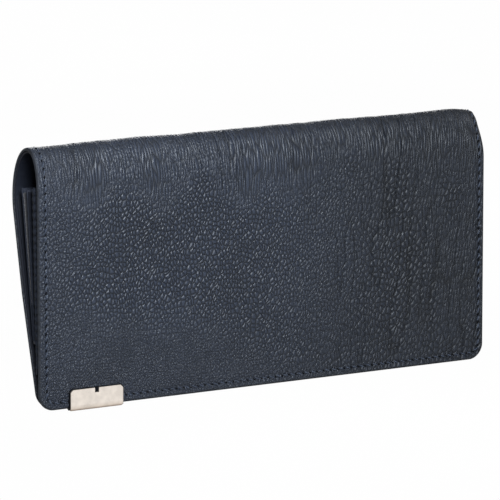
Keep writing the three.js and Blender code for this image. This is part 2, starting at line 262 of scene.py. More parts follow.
def wrinkles(x, s):
    """Long uneven lines that run up the leather, deepest on the right."""
    lean = 0.10 * smooth((x - 10) / 60)
    across = x - lean * (s - 60) + 1.1 * noise(x / 9, s / 14, 51)
    line = noise(across / 3.6, s / 22, 52)
    line = np.exp(-(line / 0.13) ** 2)
    where = smooth((x + 5) / 60) * (0.2 + 0.8 * smooth(noise(x / 18, s / 40, 53) + 0.6))
    near_fold = smooth((s - 72) / 10) * smooth((CREST_ARC + 4 - s) / 8)
    where = np.maximum(where, 0.8 * near_fold * smooth(noise(x / 12, s / 30, 54) + 0.5))
    return line * where


def leather_relief(x, s, from_edge, taper):
    """Height of the leather's face above the plain outline, without the grain itself."""
    edge = edge_distance(x, from_edge, taper)
    margin = smooth((edge - 0.8) / 2.4)
    height = -0.36 * wrinkles(x, s) * margin * (1 - 0.5 * calm_share(x, s))
    swell = 0.30 * noise(x / 29, s / 24, 61) + 0.15 * noise(x / 12, s / 14, 62)
    swell += 0.06 * noise(x / 3.4, s / 5.0, 63) + 0.04 * noise(x / 1.7, s / 2.6, 64)
    dome = 0.9 * np.exp(-((x + 15) / 60) ** 2 - ((s - 46) / 30) ** 2)
    height += (swell + dome + 0.05) * smooth((edge - 5) / 20) + 0.05 * noise(x / 2, s / 3, 65) * margin
    seam = edge - np.interp(x, [-70, 0, 70], SEAM)
    height -= 0.24 * np.exp(-(seam / 0.6) ** 2)
    height += 0.08 * np.exp(-((seam + 1.4) / 0.7) ** 2)
    bevel = 0.6
    into = np.clip(bevel - edge, 0, bevel)
    return height - bevel + np.sqrt(bevel ** 2 - into ** 2)


# ---- Mesh helpers ----
def build(name, points, faces, sharp=40):
    mesh = bpy.data.meshes.new(name)
    mesh.from_pydata((np.asarray(points).reshape(-1, 3) * MM).tolist(), [], faces)
    mesh.validate()
    mesh.polygons.foreach_set("use_smooth", [True] * len(mesh.polygons))
    mesh.set_sharp_from_angle(angle=math.radians(sharp))
    piece = bpy.data.objects.new(name, mesh)
    bpy.context.scene.collection.objects.link(piece)
    return piece


def dress(piece, body, slot, material, *nodes):
    """Gives a piece its body, finish and the CAD nodes that it stands for."""
    piece.data.materials.clear()
    piece.data.materials.append(material)
    if body:
        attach(piece, body)
    if nodes:
        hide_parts(*nodes)
    return piece


def set_uv(piece, name, coordinates):
    """Coordinates are one pair in mm for each vertex; the map is in metres."""
    layer = piece.data.uv_layers.new(name=name)
    index = np.zeros(len(piece.data.loops), np.int32)
    piece.data.loops.foreach_get("vertex_index", index)
    layer.data.foreach_set("uv", (coordinates[index] * MM).astype(np.float32).ravel())


def set_value(piece, name, values):
    attribute = piece.data.attributes.new(name, "FLOAT", "POINT")
    attribute.data.foreach_set("value", np.asarray(values, np.float32).ravel())


def quads(rows, columns, offset=0, flip=False):
    """Faces of a grid whose vertices run row by row."""
    i, j = np.meshgrid(np.arange(rows - 1), np.arange(columns - 1), indexing="ij")
    a = (offset + i * columns + j).ravel()
    face = np.stack([a, a + 1, a + columns + 1, a + columns], axis=1)
    return (face[:, ::-1] if flip else face).tolist()


def loop_of(rows, columns):
    """Vertex numbers round a grid's border."""
    last = (rows - 1) * columns
    top = np.arange(columns)
    right = np.arange(1, rows) * columns + columns - 1
    bottom = last + np.arange(columns - 2, -1, -1)
    left = np.arange(rows - 2, 0, -1) * columns
    return np.concatenate([top, right, bottom, left])


def bridge(a, b):
    """Quads between two closed loops of the same length."""
    nxt = np.roll(a, -1), np.roll(b, -1)
    return np.stack([a, b, nxt[1], nxt[0]], axis=1).tolist()


def sheet(name, outer, inner, rim=None, sharp=50):
    """A closed sheet between two grids of points, with a rounded rim.

    outer is seen from outside with rows going up and columns going so that its faces point out.
    rim is how far the rim stands out beyond the border.
    """
    rows, columns = outer.shape[:2]
    count = rows * columns
    ring = loop_of(rows, columns)
    points = [outer.reshape(-1, 3), inner.reshape(-1, 3)]
    faces = quads(rows, columns) + quads(rows, columns, count, flip=True)
    if rim:
        middle = (points[0][ring] + points[1][ring]) / 2
        row, column = np.divmod(ring, columns)
        inside = np.clip(row, 1, rows - 2), np.clip(column, 1, columns - 2)
        neighbour = ((outer + inner) / 2)[inside]
        away = middle - neighbour
        away /= np.maximum(np.linalg.norm(away, axis=1, keepdims=True), 1e-9)
        points.append(middle + rim * away)
        middle_ring = 2 * count + np.arange(len(ring))
        faces += bridge(ring, middle_ring) + bridge(middle_ring, ring + count)
    else:
        faces += bridge(ring, ring + count)
    return build(name, np.vstack(points), faces, sharp)


def spread(low, high, step, ends=(True, True)):
    """Positions from low to high, close together next to an edge and step apart elsewhere."""
    edge = np.array([0.0, 0.1, 0.25, 0.45, 0.7, 1.0])
    first = low + (edge[-1] if ends[0] else 0)
    last = high - (edge[-1] if ends[1] else 0)
    parts = [np.linspace(first, last, max(2, int(round((last - first) / step)) + 1))]
    if ends[0]:
        parts.insert(0, low + edge[:-1])
    if ends[1]:
        parts.append(high - edge[:-1][::-1])
    return np.concatenate(parts)


def ring_faces(first, rings, around, flip=False):
    """Faces of a closed tube whose rings of points follow one another, with flat ends."""
    faces = []
    for r in range(rings - 1):
        for k in range(around):
            a, b = first + r * around + k, first + r * around + (k + 1) % around
            faces.append([a, b, b + around, a + around])
    end = [first + k for k in range(around)]
    faces += [end[::-1], [k + (rings - 1) * around for k in end]]
    return [face[::-1] for face in faces] if flip else faces


def tube(name, grid, side):
    """A closed tube from rings of points, at the left (-1) or right (1) end of the wallet."""
    grid = grid if side > 0 else grid[:, ::-1]
    return build(name, grid.reshape(-1, 3), ring_faces(0, *grid.shape[:2]), 60)


def mark_rim(piece, count, value=1.0):
    """Gives a sheet's rim, whose points follow those of its two faces, an edge value."""
    edge = np.zeros(len(piece.data.vertices))
    edge[2 * count:] = value
    set_value(piece, "edge", edge)


def round_edges(piece, width, angle):
    bevel = piece.modifiers.new("edges", "BEVEL")
    bevel.width = width * MM
    bevel.segments = 2
    bevel.limit_method = "ANGLE"
    bevel.angle_limit = math.radians(angle)


# ---- Materials ----
def add_node(tree, kind, inputs=None, **settings):
    made = tree.nodes.new(kind)
    for key, value in settings.items():
        setattr(made, key, value)
    for key, value in (inputs or {}).items():
        if isinstance(value, bpy.types.NodeSocket):
            tree.links.new(value, made.inputs[key])
        else:
            made.inputs[key].default_value = value
    return made


def new_material(name, **shader):
    """A material, its node tree and its shader, with plain numbers set on the shader itself."""
    made = bpy.data.materials.new(name)
    made.use_nodes = True
    principled = made.node_tree.nodes["Principled BSDF"]
    for key, value in shader.items():
        principled.inputs[key.replace("_", " ")].default_value = value
    return made, made.node_tree, principled


def ramp(tree, factor, stops):
    made = add_node(tree, "ShaderNodeValToRGB", {"Fac": factor})
    elements = made.color_ramp.elements
    while len(elements) < len(stops):
        elements.new(0.5)
    for element, (position, colour) in zip(elements, stops):
        element.position = position
        element.color = (*colour, 1) if len(colour) == 3 else (*colour * 3, 1)
    return made.outputs["Color"]


def noise_at(tree, vector, scale, detail=3.0, roughness=0.55):
    made = add_node(tree, "ShaderNodeTexNoise",
                    {"Vector": vector, "Scale": scale, "Detail": detail, "Roughness": roughness})
    return made.outputs["Fac"]


def maths(tree, operation, a, b=0.0, clamp=False):
    made = add_node(tree, "ShaderNodeMath", {0: a, 1: b}, operation=operation)
    made.use_clamp = clamp
    return made.outputs[0]


def times(tree, a, b):
    return maths(tree, "MULTIPLY", a, b)


def plus(tree, a, b):
    return maths(tree, "ADD", a, b)


def minus(tree, a, b, clamp=False):
    return maths(tree, "SUBTRACT", a, b, clamp)


def object_place(tree):
    return add_node(tree, "ShaderNodeTexCoord").outputs["Object"]


def attribute(tree, name):
    return add_node(tree, "ShaderNodeAttribute", attribute_name=name).outputs["Fac"]


def mix_colour(tree, factor, a, b, blend="MIX"):
    made = add_node(tree, "ShaderNodeMix", data_type="RGBA", blend_type=blend)
    for socket, value in ((made.inputs[0], factor), (made.inputs[6], a), (made.inputs[7], b)):
        if isinstance(value, bpy.types.NodeSocket):
            tree.links.new(value, socket)
        else:
            socket.default_value = value
    return made.outputs[2]


def stretched(tree, vector, scale):
    made = add_node(tree, "ShaderNodeMapping", {"Vector": vector, "Scale": scale})
    return made.outputs["Vector"]


def pebbles(tree, where, across, along, gap=0.46):
    """Rounded cells of the given size in mm, from 0 in the crevices to 1 on top."""
    at = stretched(tree, where, (1 / (across * MM), 1 / (along * MM), 1.0))
    settings = {"Vector": at, "Scale": 1.0, "Randomness": 0.9}
    border, far = (add_node(tree, "ShaderNodeTexVoronoi", settings, voronoi_dimensions="2D",
                            feature=feature).outputs["Distance"]
                   for feature in ("DISTANCE_TO_EDGE", "F1"))
    side = minus(tree, 1.0, maths(tree, "DIVIDE", border, gap, True))
    side = minus(tree, 1.0, times(tree, side, side))
    top = minus(tree, 1.0, times(tree, times(tree, far, far), 0.9), True)
    return times(tree, side, plus(tree, times(tree, top, 0.6), 0.4))


def mixed(tree, share, a, b):
    """a where share is 0, b where it is 1."""
    return plus(tree, a, times(tree, share, minus(tree, b, a)))


def finished(made, shader, colour, height, strength, depth, rough=None):
    """Joins a colour, a relief that is depth mm deep and a roughness to the shader."""
    tree = made.node_tree
    bump = add_node(tree, "ShaderNodeBump",
                    {"Height": height, "Strength": strength, "Distance": depth * MM})
    for name, value in (("Base Color", colour), ("Roughness", rough),
                        ("Normal", bump.outputs["Normal"])):
        if value is not None:
            tree.links.new(value, shader.inputs[name])
    return made


def cover_leather():
    """Grained navy leather: domed pebbles drawn into creases in places, with painted shade in the
    crevices, wrinkles and right part and painted light on the pebbles' tops.
    """
    made, tree, shader = new_material("cover_leather", IOR=1.46, Specular_IOR_Level=LEATHER_SHINE,
                                      Specular_Tint=(0.86, 0.93, 1.0, 1))
    where = add_node(tree, "ShaderNodeUVMap", uv_map="surface").outputs["UV"]
    grain = add_node(tree, "ShaderNodeUVMap", uv_map="grain").outputs["UV"]
    calm, crease, large, margin, fold = (attribute(tree, name) for name in
                                         ("calm", "crease", "large", "margin", "fold"))
    field = mixed(tree, large, pebbles(tree, grain, 1.35, 1.85), pebbles(tree, grain, 1.80, 2.35))
    field = mixed(tree, crease, field, pebbles(tree, grain, 1.10, 8.0))
    field = mixed(tree, times(tree, calm, 0.55), field, pebbles(tree, grain, 0.80, 1.05, 0.42))
    fine = noise_at(tree, where, 1500.0, 4.0, 0.6)
    # painted shade and light: dark in the pebbles' crevices, light on their tops
    body = ramp(tree, field, [(0.05, LEATHER_CREVICE_SHADE), (0.5, LEATHER_MIDDLE), (1.0, LEATHER_LIT_TOP)])
    tone = ramp(tree, noise_at(tree, where, 22.0, 2.0), [(0.3, (0.84,)), (0.7, (1.14,))])
    colour = mix_colour(tree, 1.0, body, tone, "MULTIPLY")
    # The colour is darkened: by up to half towards the middle and right, painted shade; a little where
    # the leather is calm; to 0.45 at the edge, the dark edge paint; and in the wrinkles, painted
    # shade.
    shade_and_edge_paint = minus(tree, minus(tree, 1.0, times(tree, calm, 0.15)), times(tree, large, 0.50))
    shade_and_edge_paint = times(tree, shade_and_edge_paint, mixed(tree, margin, 0.45, 1.0))
    # painted shade in the wrinkles
    shade_and_edge_paint = times(tree, shade_and_edge_paint, mixed(tree, fold, 1.0, 0.6))
    shade_and_edge_paint = add_node(tree, "ShaderNodeCombineColor", {0: shade_and_edge_paint, 1: shade_and_edge_paint, 2: shade_and_edge_paint}).outputs[0]
    colour = mix_colour(tree, 1.0, colour, shade_and_edge_paint, "MULTIPLY")
    rough = ramp(tree, field, [(0.1, (0.66,)), (0.9, (0.42,))])
    rough = plus(tree, rough, times(tree, large, 0.06))
    rough = plus(tree, rough, times(tree, minus(tree, fine, 0.5), 0.3))
    depth = times(tree, mixed(tree, calm, 1.0, 0.9), mixed(tree, crease, 1.0, 0.8))
    depth = times(tree, depth, mixed(tree, margin, 0.2, 1.0))
    relief = plus(tree, times(tree, field, depth), times(tree, fine, 0.10))
    return finished(made, shader, colour, relief, 1.0, GRAIN_DEPTH, mixed(tree, margin, 0.7, rough))


def smooth_leather(name, dark, light, roughness, edge=None, shine=0.3):
    """Fine-grained lining leather. Where the piece has an edge value, it takes the edge's colour."""
    made, tree, shader = new_material(name, IOR=1.45, Specular_IOR_Level=shine)
    where = object_place(tree)
    cell = add_node(tree, "ShaderNodeTexVoronoi", {"Vector": where, "Scale": 1150.0},
                    feature="DISTANCE_TO_EDGE").outputs["Distance"]
    fine = noise_at(tree, where, 900.0, 4.0)
    shade = plus(tree, times(tree, noise_at(tree, where, 40.0, 2.0), 0.6), times(tree, fine, 0.4))
    colour = ramp(tree, shade, [(0.3, dark), (0.7, light)])
    if edge:
        colour = mix_colour(tree, attribute(tree, "edge"), colour, (*edge, 1))
    rough = ramp(tree, fine, [(0.3, (roughness - 0.08,)), (0.7, (roughness + 0.08,))])
    relief = plus(tree, maths(tree, "MINIMUM", cell, 0.25), times(tree, fine, 0.3))
    return finished(made, shader, colour, relief, 0.3, 0.1, rough)


def thread():
    made, tree, shader = new_material("thread", Roughness=0.8, Specular_IOR_Level=0.15)
    fibre = noise_at(tree, object_place(tree), 2200.0, 3.0)
    colour = ramp(tree, fibre, [(0.3, (0.012, 0.016, 0.027)), (0.7, (0.030, 0.039, 0.056))])
    return finished(made, shader, colour, fibre, 0.4, 0.1)


def woven(name, dark, light, count):
    """Plain weave or tape, count threads to the metre."""
    made, tree, shader = new_material(name, Roughness=0.85, Sheen_Weight=0.25)
    settings = {"Vector": object_place(tree), "Scale": count / 20, "Distortion": 0.4}
    warp, weft = (add_node(tree, "ShaderNodeTexWave", settings, bands_direction=way).outputs["Fac"]
                  for way in "XZ")
    weave = times(tree, warp, weft)
    return finished(made, shader, ramp(tree, weave, [(0.0, dark), (0.6, light)]), weave, 0.5, 0.2)


def metal(name, tint, low, high, brush, dark_foot_height=0.001):
    """Nickel with a fine brushed grain along x, softer and sharper patches and a darker foot, which is
    painted dark reflection.

    low and high are the roughness's limits; the last argument is the height in mm of the darker foot.
    Where the piece carries the end value that add_plate sets, it is dark: painted dark reflection on
    the plate's ends.
    """
    made, tree, shader = new_material(name, Metallic=1.0)
    where = object_place(tree)
    lines = noise_at(tree, stretched(tree, where, (60.0, brush, brush)), 1.0, 4.0, 0.6)
    cloud = noise_at(tree, where, 300.0, 4.0)
    shade = ramp(tree, cloud, [(0.35, tuple(c * 0.85 for c in tint)), (0.65, tint)])
    # painted dark reflection: the colour darkens towards the piece's bottom
    foot = add_node(tree, "ShaderNodeSeparateXYZ", {0: where}).outputs["Z"]
    dark_foot = ramp(tree, maths(tree, "DIVIDE", foot, dark_foot_height * MM, True),
                [(0.15, (0.30, 0.24, 0.20)), (0.45, (0.84, 0.81, 0.78)), (1.0, (1.0,))])
    shade = mix_colour(tree, 1.0, shade, dark_foot, "MULTIPLY")
    # painted dark reflection on the ends that add_plate marks
    shade = mix_colour(tree, attribute(tree, "tarnish"), shade, (0.08, 0.07, 0.06, 1))
    rough = ramp(tree, plus(tree, times(tree, lines, 0.6), times(tree, cloud, 0.4)),
                 [(0.3, (low,)), (0.7, (high,))])
    return finished(made, shader, shade, lines, 0.12, 0.04, rough)


COVER_LEATHER = cover_leather()
# Lining leather kept darker than the cover: partly its own darker colour, partly painted shade for the
# shadowed inside of the arch.
LINING = smooth_leather("lining_leather", (0.0018, 0.0025, 0.0046), (0.0038, 0.0052, 0.0090), 0.6,
                        (0.009, 0.009, 0.012), 0.12)
POCKET_LEATHER = smooth_leather("pocket_leather", (0.0038, 0.0052, 0.0094),
                                (0.0074, 0.0102, 0.0176), 0.5, (0.012, 0.014, 0.019), 0.28)
GUSSET_LEATHER = smooth_leather("gusset_leather", (0.0014, 0.0020, 0.0038),
                                (0.0028, 0.0040, 0.0072), 0.7, (0.006, 0.008, 0.013), 0.08)
THREAD = thread()
# Near-black material for painted shade: the stitch holes and the line round the plate.
PAINTED_SHADE = smooth_leather("stitch_holes", (0.0008, 0.0010, 0.0016), (0.0016, 0.0020, 0.0030), 0.8,
                      None, 0.05)
FABRIC = woven("pocket_fabric", (0.003, 0.004, 0.006), (0.009, 0.011, 0.016), 4000)
TAPE = woven("zip_tape", (0.006, 0.008, 0.013), (0.019, 0.025, 0.038), 2600)
NICKEL = metal("plate_nickel", (0.82, 0.75, 0.68), 0.24, 0.38, 4200.0, 2.4)
ZIP_NICKEL = metal("zip_nickel", (0.72, 0.70, 0.67), 0.16, 0.30, 2500.0)


# ---- Cover ----
def cover_half(name, arcs, from_edge, taper):
    """One half of the leather cover, as a closed piece with a fine outer face."""
    share = spread(-HALF, HALF, 0.42) / HALF
    x = share[None, :] * half_length(from_edge, taper)[:, None]
    s = np.broadcast_to(arcs[:, None], x.shape)
    edge = np.broadcast_to(from_edge[:, None], x.shape)
    outer = cover_point(x, s, -leather_relief(x, s, edge, taper))
    rows, columns = x.shape
    # the inner face is plain, so it keeps only its first and last rows and a few columns
    picked = np.unique(np.concatenate([np.arange(0, columns, 14), [columns - 1, 2, columns - 3]]))
    inner = cover_point(x, s, LEATHER)
    number = np.full((rows, columns), -1)
    used = np.zeros((rows, columns), bool)
    used[[0, -1], :] = True
    used[:, picked] = True
    number[used] = rows * columns + np.arange(used.sum())
    faces = quads(rows, columns)
    for row in range(rows - 1):
        for a, b in zip(picked[:-1], picked[1:]):
            low = number[row, a:b + 1] if row == 0 else number[row, [a, b]]
            high = number[row + 1, a:b + 1] if row == rows - 2 else number[row + 1, [a, b]]
            faces.append([int(v) for v in (*high, *low[::-1])])
    ring = loop_of(rows, columns)
    faces += bridge(ring, number.ravel()[ring])
    piece = build(name, np.vstack([outer.reshape(-1, 3), inner[used]]), faces, 50)
    for map_name, place in (("surface", np.stack([x, s], -1)), ("grain", drawn(x, s))):
        set_uv(piece, map_name, np.vstack([place.reshape(-1, 2), place[used]]))
    # large and fold also darken the leather's colour as painted shade; margin darkens it at the edge,
    # the edge paint
    values = {"calm": calm_share(x, s), "crease": crease_share(x, s), "large": large_share(x, s),
              "margin": smooth((edge_distance(x, edge, taper) - 0.3) / 0.5),
              "fold": wrinkles(x, s)}
    for value_name, value in values.items():
        set_value(piece, value_name, np.concatenate([value.ravel(), value[used]]))
    return piece


def lining_half(name, arcs, from_edge, taper):
    half = half_length(np.maximum(from_edge - 1, 0), taper) - LINING_INSET
    x = np.linspace(-1, 1, 97)[None, :] * half[:, None]
    s = np.broadcast_to(arcs[:, None], x.shape)
    waves = 0.05 * noise(x / 9, s / 7, 71)
    outer, inner = cover_point(x, s, COVER - 0.05 + waves), cover_point(x, s, LINING_IN)
    piece = sheet(name, outer[:, ::-1], inner[:, ::-1], 0.12)
    mark_rim(piece, x.size)
    return piece


def blend_cover(piece):
    """Bakes a cover piece's placement into its mesh; the cover is made in two halves, one on each side
    of the middle of the fold.
    """
    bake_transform(piece)


def add_cover():
    fine = (spread(0, MIDDLE, 0.72, (True, False)), spread(MIDDLE, END, 0.72, (False, True)))
    plain = (np.linspace(LINING_START, MIDDLE, 90), np.linspace(MIDDLE, END - LINING_START, 90))
    for make, arcs, word, slot, material in (
            (cover_half, fine, "cover", "cover_leather", COVER_LEATHER),
            (lining_half, plain, "lining", "lining_leather", LINING)):
        layer = "leather" if make is cover_half else "lining"
        piece = make(f"{word}_front", arcs[0], arcs[0], 0.0)
        dress(piece, None, slot, material, f"flap_{layer}")
        blend_cover(piece)
        piece = make(f"{word}_back", arcs[1], END - arcs[1], BACK_TAPER)
        dress(piece, None, slot, material, f"spine_{layer}", f"back_{layer}")
        blend_cover(piece)


# ---- Stitching ----
def stitches(name, path, normals, pitch=STITCH_PITCH, length=2.1, radius=0.27, slant=0.42, rise=0.16):
    """Single stitches along a path of points on a surface, each dipping into it at both ends."""
    along = lengths_along(path)
    count = int(along[-1] // pitch)
    at = (along[-1] - count * pitch) / 2 + pitch * (np.arange(count) + 0.5)
    sides, rings = 6, 7
    t = np.linspace(-1, 1, rings)
    swell = radius * np.sqrt(np.clip(1.04 - t ** 2, 0.04, 1))
    dip = rise * (1 - t ** 2) - 0.6 * radius * t ** 4
    turn = np.arange(sides) * 2 * math.pi / sides
    points, faces = [], []

    def sample(values, distance):
        return np.stack([np.interp(distance, along, values[:, k]) for k in range(3)], -1)

    for middle in at:
        centre = sample(path, middle + t * length / 2)
        up = sample(normals, middle + t * length / 2)
        up /= np.linalg.norm(up, axis=1, keepdims=True)
        ahead = np.gradient(centre, axis=0)
        ahead /= np.linalg.norm(ahead, axis=1, keepdims=True)
        aside = np.cross(ahead, up)
        centre = centre + dip[:, None] * up + slant * (t * length / 2)[:, None] * aside
        ring = (np.cos(turn)[None, :, None] * aside[:, None, :]
                + np.sin(turn)[None, :, None] * up[:, None, :])
        faces += ring_faces(len(points) * rings * sides, rings, sides)
        points.append((centre[:, None, :] + swell[:, None, None] * ring).reshape(-1, 3))
    return build(name, np.vstack(points), faces, 60)


def punched(name, path, normals, pitch=STITCH_PITCH, size=(0.54, 0.32, 0.30)):
    """Dark blobs between stitches, where the thread goes down into the leather: painted shade for the
    holes.

    size is a dimple's half length, half width and height.
    """
    along = lengths_along(path)
    count = int(along[-1] // pitch)
    at = (along[-1] - count * pitch) / 2 + pitch * np.arange(count + 1)
    levels = ((-0.25, 1.0), (0.0, 1.0), (0.55, 0.8), (0.95, 0.35))
    turn = np.arange(10) * 2 * math.pi / 10
    points, faces = [], []
    for middle in at:
        near = np.array([middle - 0.3, middle, middle + 0.3])
        spot = np.stack([np.interp(near, along, path[:, k]) for k in range(3)], -1)
        up = np.array([np.interp(middle, along, normals[:, k]) for k in range(3)])
        up /= np.linalg.norm(up)
        ahead = spot[2] - spot[0]
        ahead /= np.linalg.norm(ahead)
        aside = np.cross(ahead, up)
        faces += ring_faces(len(points), len(levels), len(turn), True)
        for level, reach in levels:
            for a in turn:
                points.append(spot[1] + reach * (size[0] * math.cos(a) * (ahead + 0.5 * aside)
                                                 + size[1] * math.sin(a) * aside)
                              + size[2] * level * up)
    return build(name, np.array(points), faces, 60)


def cover_seam(front):
    """Points and normals of the stitch line of one half, from end to end round the lower edge."""
    taper = 0.0 if front else BACK_TAPER
    left, low, right = SEAM
    reach = MIDDLE if front else END - MIDDLE
    turn = CORNER - low
    up = np.arange(CORNER, reach, 0.25)
    round_ = np.linspace(0, math.pi / 2, 30)
    bottom_half = half_length(np.array([CORNER]), taper)[0]
    flat = np.arange(-bottom_half + CORNER, bottom_half - CORNER, 0.25)
    left_x = -(half_length(up, taper) - left)[::-1]
    right_x = half_length(up, taper) - right
    xs = [left_x,
          -bottom_half + CORNER - (CORNER - left) * np.cos(round_), flat,
          bottom_half - CORNER + (CORNER - right) * np.sin(round_), right_x]
    es = [up[::-1], CORNER - turn * np.sin(round_), np.full(len(flat), low),
          CORNER - turn * np.cos(round_), up]
    x, edge = np.concatenate(xs), np.concatenate(es)
    s = edge if front else END - edge
    path = cover_point(x, s, 0.16)
    normals = cover_point(x, s, -1.0) - cover_point(x, s, 0.0)
    return path, normals


def add_cover_seams():
    for front, name in ((True, "seam_front"), (False, "seam_back")):
        path, normals = cover_seam(front)
        for piece, look in ((stitches(name, path, normals), THREAD),
                            (punched(name + "_holes", path, normals), PAINTED_SHADE)):
            dress(piece, None, "cover_leather", look)
            blend_cover(piece)


# ---- Plate on the flap's lower edge ----
def add_plate():
    low, high = box_mm("edge_plate")
    left, right = low[0], high[0]
    thick, rear_thick = 0.7, 0.45
    height = high[2]
    rear_height = 4.5
    chamfer = 1.1
    notch_half, notch_depth = 0.85, 1.7
    middle = (left + right) / 2
    radius, end_round = 0.55, 0.7
    # the hook's middle line, from the front leaf's top, round below, to the rear leaf's top
    front_y = low[1] + thick / 2
    rear_y = high[1] - rear_thick / 2
    bottom = low[2] + 0.45

    def top(x):
        """Height of the front leaf's upper edge at x."""
        from_side = min(x - left, right - x)
        if abs(x - middle) < notch_half:
            return height - notch_depth
        return height - max(0.0, chamfer - from_side)

    xs = [left, left + 0.25, left + 0.6, left + chamfer]
    xs += list(np.linspace(left + chamfer + 0.9, middle - notch_half - 0.5, 9))
    xs += [middle - notch_half - 0.001, middle - notch_half + 0.001, middle,
           middle + notch_half - 0.001, middle + notch_half + 0.001]
    xs += list(np.linspace(middle + notch_half + 0.5, right - chamfer - 0.9, 9))
    xs += [right - chamfer, right - 0.6, right - 0.25, right]
    turn = np.linspace(0, math.pi / 2, 6)[1:]
    span = rear_y - front_y
    corner_front = [(front_y + radius * (1 - math.cos(a)), bottom + radius * (1 - math.sin(a)))
                    for a in turn]
    corner_rear = [(rear_y - radius * (1 - math.sin(a)), bottom + radius * (1 - math.cos(a)))
                   for a in turn]
    points = []
    for x in xs:
        leaf_top = top(x)
        into = max(0.0, end_round - min(x - left, right - x)) / end_round
        lift = end_round * (1 - math.sqrt(1 - 0.98 * into ** 2))
        column = [(front_y, leaf_top + (bottom + radius - leaf_top) * share)
                  for share in np.linspace(0, 1, 9)]
        column += corner_front
        column += [(front_y + radius + (span - 2 * radius) * t, bottom) for t in (0.33, 0.67)]
        column += [(rear_y - radius, bottom)] + corner_rear
        column += [(rear_y, bottom + radius + (rear_height - bottom - radius) * t)
                   for t in (0.25, 0.5, 0.75, 1.0)]
        points.append([(x, y, z + lift * max(0.0, 1 - z / 4)) for y, z in column])
    grid = np.array(points)
    tangent = np.gradient(grid[:, :, 1:], axis=1)
    tangent /= np.maximum(np.linalg.norm(tangent, axis=2, keepdims=True), 1e-9)
    outward = np.stack([np.zeros(tangent.shape[:2]), tangent[:, :, 1], -tangent[:, :, 0]], -1)
    share = np.clip((grid[:, :, 1] - front_y) / span, 0, 1)[:, :, None]
    half = (thick * (1 - share) + rear_thick * share) / 2
    # outward is turned round where it has to be, to point to -y on the front leaf
    side = np.where(outward[:, :1, 1:2] > 0, -1.0, 1.0)
    outer, inner = grid + side * outward * half, grid - side * outward * half
    piece = sheet("plate", outer, inner, None, 35)
    # the plate's ends are darkened, painted dark reflection
    spots = np.array([spot.co[:] for spot in piece.data.vertices]) / MM
    from_end = np.minimum(spots[:, 0] - left, right - spots[:, 0])
    set_value(piece, "tarnish", smooth(1 - from_end / 0.3))
    round_edges(piece, 0.22, 50)
    dress(piece, "flap", "plate_metal", NICKEL, "edge_plate")
    # a thin dark strip behind the plate's edge, painted shadow that shows as a dark line round it
    w, e, up = left - 0.45, right + 0.3, height + 0.35
    outline_xz = [(w, 0.5), (e, 0.5), (e, up - chamfer), (e - chamfer, up), (w + chamfer, up),
                  (w, up - chamfer)]
    face = low[1] + thick + 0.02
    points = [(x, y, z) for y in (face, face + 0.4) for x, z in outline_xz]
    faces = [list(range(6)), list(range(6, 12))[::-1]]
    faces += [[k, k + 6, (k + 1) % 6 + 6, (k + 1) % 6] for k in range(6)]
    dress(build("plate_seat", np.array(points), faces, 40), "flap", "cover_leather", PAINTED_SHADE)


# ---- Sheets of the pouch ----
def top_of(node):
    return box_mm(node)[1][2] - BASE


def leaning(low, low_depth, high, high_depth):
    """Depth at a height, on a straight line between two points."""
    return lambda height: low_depth + (high_depth - low_depth) * (height - low) / (high - low)


CARD_LOW, CARD_TOP = 13.0, top_of("card_panel")
CARD_REAR = leaning(CARD_LOW, 4.3, CARD_TOP, 6.0)
CARD_THICK = 0.5
SLOT_THICK, SLOT_STEP = 0.4, 0.5
SLOT_MOUTHS = [top_of(f"card_slot_{i}") for i in (1, 2, 3)]
SLOT_DEPTH, SLOT_LOWEST = 52.0, 14.0
POUCH_HALF = HALF - 1.0
COIN_LOW, COIN_TOP, COIN_WALL = 24.0, top_of("coin_wall_front"), 0.6
COIN_FRONT = leaning(COIN_LOW, 5.0, COIN_TOP, 9.9)
COIN_REAR = leaning(COIN_LOW, 6.3, COIN_TOP, 14.3)
BACK_INNER = leaning(0.0, LINE[-1, 0] - 1.94, 60.0, LINE[-1, 0] - 1.94 + 60 * BACK_SLOPE)


def leaf(name, low, high, half, face, thick, hem=0.0, inside=False, wave=0.05, seed=81):
    """A thin upright sheet. face gives the depth of its front; hem thickens its upper edge.

    Where inside is true, the seen face is the rear one and the hem is on that side.
    """
    heights = np.linspace(low, high, max(6, int((high - low) / 1.1)))
    xs = np.linspace(-half, half, 130)
    x, height = np.meshgrid(xs, heights)
    ripple = wave * noise(x / 13, height / 9, seed) * smooth((height - low) / 6)
    band = hem * smooth((height - high + 4.2) / 0.7) if hem else 0.0
    front = face(height) + ripple
    rear = front + thick
    if inside:
        rear = rear + band
    else:
        front = front - band
    dip = 0.25 * smooth(1 - np.abs(np.abs(x) - half / 2) / (half / 2)) * (height - low) / (high - low)
    z = BASE + height - dip
    near = np.stack([x, FRONT + front, z], -1)
    far = np.stack([x, FRONT + rear, z], -1)
    if inside:
        near, far = far[:, ::-1], near[:, ::-1]
    piece = sheet(name, near, far, 0.10)
    mark_rim(piece, x.size)
    return piece


def straight_seam(name, body, ends, depth, face_normal):
    """Small stitches between two (x, height) ends on a face given by depth(height)."""
    (x0, h0), (x1, h1) = ends
    t = np.linspace(0, 1, 400)
    x, height = x0 + (x1 - x0) * t, h0 + (h1 - h0) * t
    path = np.stack([x, FRONT + depth(height), BASE + height], -1)
    normals = np.tile([0.0, face_normal, 0.0], (len(t), 1))
    piece = stitches(name, path, normals, pitch=2.6, length=1.9, radius=0.2, rise=0.06)
    return dress(piece, body, "lining_leather", THREAD)


